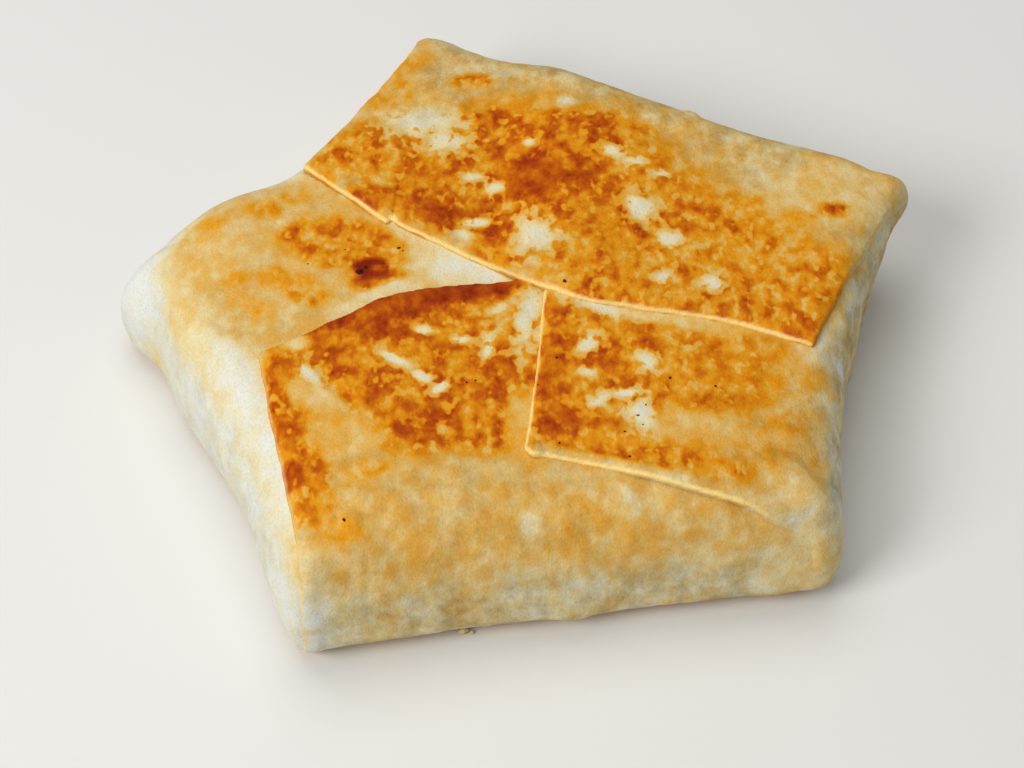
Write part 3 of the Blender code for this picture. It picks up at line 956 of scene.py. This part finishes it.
def finish_piece(thing, finish):
    """Gives a piece its finish and its place on the frame."""
    select_only(thing)
    bpy.ops.object.shade_smooth()
    thing.data.materials.clear()
    thing.data.materials.append(finish)
    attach(thing, BODY)


def finish_dough(thing, context):
    """Finishes one of the pieces that together stand in for the solid."""
    finish_piece(thing, toasted_flour_dough(context.scene.tortilla_colours))
    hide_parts(NODE)


# ---------------- operators
class TORTILLA_OT_packet(bpy.types.Operator):
    """Builds the packet that carries the folds"""

    bl_idname = "tortilla.packet"
    bl_label = "Build packet"

    def execute(self, context):
        sizes = context.scene.tortilla_sizes
        packet = packet_solid("tortilla_packet")
        fine_mesh(packet, sizes.packet_voxel)
        ripples(packet, sizes)
        shape_forms(packet, PACKET_FORMS)
        toast_piece(packet, PACKET_PATCHES, PACKET_SKIN, (), PACKET_FORMS)
        finish_dough(packet, context)
        return {"FINISHED"}


def build_fold(context, fold, forms, patches, skin):
    """Builds one fold with its toasting and its finish."""
    sizes = context.scene.tortilla_sizes
    sheet = fold_sheet(fold)
    fine_mesh(sheet, sizes.fold_voxel)
    press_edges(sheet, fold.edges)
    ripples(sheet, sizes)
    shape_forms(sheet, forms)
    thin_out(sheet)
    toast_piece(sheet, patches, skin, fold.edges, forms)
    finish_dough(sheet, context)


class TORTILLA_OT_front_fold(bpy.types.Operator):
    """Builds the fold that comes over the front"""

    bl_idname = "tortilla.front_fold"
    bl_label = "Build front fold"

    def execute(self, context):
        build_fold(context, FRONT_FOLD, FRONT_FORMS, FRONT_PATCHES, FRONT_SKIN)
        return {"FINISHED"}


class TORTILLA_OT_right_fold(bpy.types.Operator):
    """Builds the fold that comes over from the right"""

    bl_idname = "tortilla.right_fold"
    bl_label = "Build right fold"

    def execute(self, context):
        build_fold(context, RIGHT_FOLD, RIGHT_FORMS, RIGHT_PATCHES, RIGHT_SKIN)
        return {"FINISHED"}


class TORTILLA_OT_back_fold(bpy.types.Operator):
    """Builds the large fold that comes over the others from the back"""

    bl_idname = "tortilla.back_fold"
    bl_label = "Build back fold"

    def execute(self, context):
        build_fold(context, BACK_FOLD, BACK_FORMS, BACK_PATCHES, BACK_SKIN)
        return {"FINISHED"}


def skin_height(x, y):
    """Height of the topmost skin at a place seen from above, in millimetres."""
    start = Vector((x * MM, y * MM, 2 * TOP * MM))
    graph = bpy.context.evaluated_depsgraph_get()
    hit, spot, *_ = bpy.context.scene.ray_cast(graph, start, Vector((0, 0, -1)))
    if not hit:
        raise RuntimeError(f"nothing lies under {x}, {y}")
    return spot.z / MM


def small_lump(x, y, z, long, high, turn):
    """One crumb or speck: a small ball pressed flat and crumpled."""
    lump = added(bpy.ops.mesh.primitive_ico_sphere_add, subdivisions=3, radius=0.5)
    for vert in lump.data.vertices:
        crumple = noise.noise_vector(vert.co * 3.1 + Vector((x, y, z)))
        vert.co = vert.co * (1 + 0.5 * crumple.x) + 0.12 * crumple
        vert.co = Vector((vert.co.x * long, vert.co.y * long * 0.65, vert.co.z * high))
        vert.co.rotate(Matrix.Rotation(turn, 3, "Z"))
        vert.co = (vert.co + Vector((x, y, z))) * MM
    return lump


def joined(lumps, name):
    """The lumps as one piece."""
    bpy.ops.object.select_all(action="DESELECT")
    for lump in lumps:
        lump.select_set(True)
    bpy.context.view_layer.objects.active = lumps[0]
    bpy.ops.object.join()
    lumps[0].name = name
    return lumps[0]


class TORTILLA_OT_crumbs(bpy.types.Operator):
    """Scatters the burnt specks on the skin and the crumbs beside the wrap"""

    bl_idname = "tortilla.crumbs"
    bl_label = "Scatter crumbs"

    def execute(self, context):
        heights = [skin_height(x, y) for x, y, _ in SPECKS]
        specks = joined(
            [
                small_lump(x, y, z + 0.05, long, long * 0.45, 1.7 * i)
                for i, ((x, y, long), z) in enumerate(zip(SPECKS, heights))
            ],
            "char_specks",
        )
        crumbs = joined(
            [
                small_lump(x, y, high * 0.5 + 0.15, long, high, 0.4 + 2.1 * i)
                for i, (x, y, long, high) in enumerate(CRUMBS)
            ],
            "dough_crumbs",
        )
        keep_values(crumbs, "toast", np.full(len(crumbs.data.vertices), CRUMB_TOAST))
        colours = context.scene.tortilla_colours
        finish_piece(specks, scorched_dough(colours))
        finish_piece(crumbs, toasted_flour_dough(colours))
        return {"FINISHED"}


class TORTILLA_OT_stage(bpy.types.Operator):
    """Sets the floor, the soft light and the camera"""

    bl_idname = "tortilla.stage"
    bl_label = "Set stage"

    def execute(self, context):
        settings = context.scene.tortilla_stage
        floor = added(bpy.ops.mesh.primitive_plane_add, size=6.0, location=(0, 0, 0))
        floor.name = "floor"
        floor.data.materials.append(painted_floor(settings))

        for name, place, size, power in (
            ("key_light", (-0.68, -0.56, 0.8), 0.5, settings.key_light),
            ("top_light", (-0.12, 0.3, 1.2), 0.9, settings.key_light * TOP_LIGHT),
        ):
            lamp = added(bpy.ops.object.light_add, type="AREA", location=place)
            lamp.name = name
            lamp.data.size = size
            lamp.data.energy = power
            lamp.rotation_euler = Vector(place).to_track_quat("Z", "Y").to_euler()

        world = bpy.data.worlds.new("soft_room")
        world.use_nodes = True
        backdrop = world.node_tree.nodes["Background"]
        backdrop.inputs["Color"].default_value = linear("F1F2F1")
        backdrop.inputs["Strength"].default_value = settings.fill_light
        context.scene.world = world

        back = Vector((0, -math.cos(CAMERA_HEIGHT), math.sin(CAMERA_HEIGHT)))
        camera = added(
            bpy.ops.object.camera_add,
            location=Vector(CAMERA_AIM) * MM + back * CAMERA_DISTANCE * MM,
            rotation=(math.pi / 2 - CAMERA_HEIGHT, 0, 0),
        )
        camera.name = "camera"
        camera.data.lens = 85
        camera.data.sensor_width = 36
        camera.data.clip_start = 0.01
        context.scene.camera = camera
        context.scene.view_settings.view_transform = "Standard"
        return {"FINISHED"}


class TORTILLA_PT_panel(bpy.types.Panel):
    """The wrap's sizes, colours and parts"""

    bl_label = "Tortilla wrap"
    bl_idname = "TORTILLA_PT_panel"
    bl_space_type = "VIEW_3D"
    bl_region_type = "UI"
    bl_category = "Tortilla"

    def draw(self, context):
        for group_name, _ in GROUPS:
            group = getattr(context.scene, group_name)
            box = self.layout.box()
            for name in group.__annotations__:
                box.prop(group, name)
        for operator in BUILD_ORDER:
            self.layout.operator(operator.bl_idname)


BUILD_ORDER = (
    TORTILLA_OT_packet,
    TORTILLA_OT_front_fold,
    TORTILLA_OT_right_fold,
    TORTILLA_OT_back_fold,
    TORTILLA_OT_crumbs,
    TORTILLA_OT_stage,
)
GROUPS = (
    ("tortilla_sizes", TortillaSizes),
    ("tortilla_colours", TortillaColours),
    ("tortilla_stage", StageSettings),
)


def register():
    for name, group in GROUPS:
        bpy.utils.register_class(group)
        setattr(bpy.types.Scene, name, bpy.props.PointerProperty(type=group))
    for operator in BUILD_ORDER:
        bpy.utils.register_class(operator)
    bpy.utils.register_class(TORTILLA_PT_panel)


def unregister():
    bpy.utils.unregister_class(TORTILLA_PT_panel)
    for operator in reversed(BUILD_ORDER):
        bpy.utils.unregister_class(operator)
    for name, group in reversed(GROUPS):
        delattr(bpy.types.Scene, name)
        bpy.utils.unregister_class(group)


def plain(box):
    """A box as plain lists of numbers."""
    return [[float(value) for value in corner] for corner in box]


def main():
    register()
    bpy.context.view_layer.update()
    bpy.ops.tortilla.packet()
    bpy.ops.tortilla.front_fold()
    bpy.ops.tortilla.right_fold()
    bpy.ops.tortilla.back_fold()
    bpy.ops.tortilla.crumbs()
    bpy.ops.tortilla.stage()


if __name__ == "__main__":
    main()
